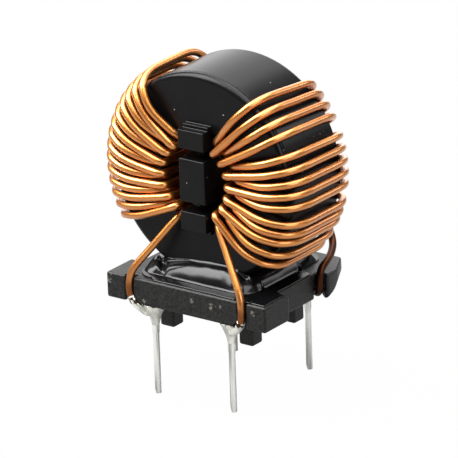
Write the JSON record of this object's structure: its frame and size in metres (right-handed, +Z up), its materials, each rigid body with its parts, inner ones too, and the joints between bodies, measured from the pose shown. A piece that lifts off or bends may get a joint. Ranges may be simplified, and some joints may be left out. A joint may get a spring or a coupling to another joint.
{
  "type": "common mode filter",
  "caption": "Upright ring-core common mode filter: enamelled copper windings on a cased ferrite ring, glued to a black moulded base with feet and solder-tailed pins.",
  "frame": {"origin": "middle of the pin pattern on the plane of the feet's undersides, which is the circuit board's surface", "axes": "+Z up, away from the board; the ring core's axis lies along Y, and -Y is the front that the picture shows"},
  "size_m": [0.0326, 0.0213, 0.0453],
  "materials": {
    "moulded_base": "matte moulded black",
    "case_plastic": "satin moulded black",
    "epoxy": "cured black epoxy, glossy",
    "enamelled_copper": "copper under clear amber enamel, glossy",
    "tinned_pin": "tin-plated wire, satin",
    "solder": "solidified tin solder, satin",
    "ferrite": "sintered ferrite, dark grey"
  },
  "bodies": {
    "root": {"base": "moulded_base", "pin_front_left": "tinned_pin", "pin_front_right": "tinned_pin", "pin_back_left": "tinned_pin", "pin_back_right": "tinned_pin", "ferrite_core": "ferrite", "core_case_cup": "case_plastic", "core_case_lid": "case_plastic", "divider": "case_plastic", "winding_left": "enamelled_copper", "winding_right": "enamelled_copper", "solder_front_left": "solder", "solder_front_right": "solder", "solder_back_left": "solder", "solder_back_right": "solder", "adhesive_bead": "epoxy"}
  },
  "joints": []
}
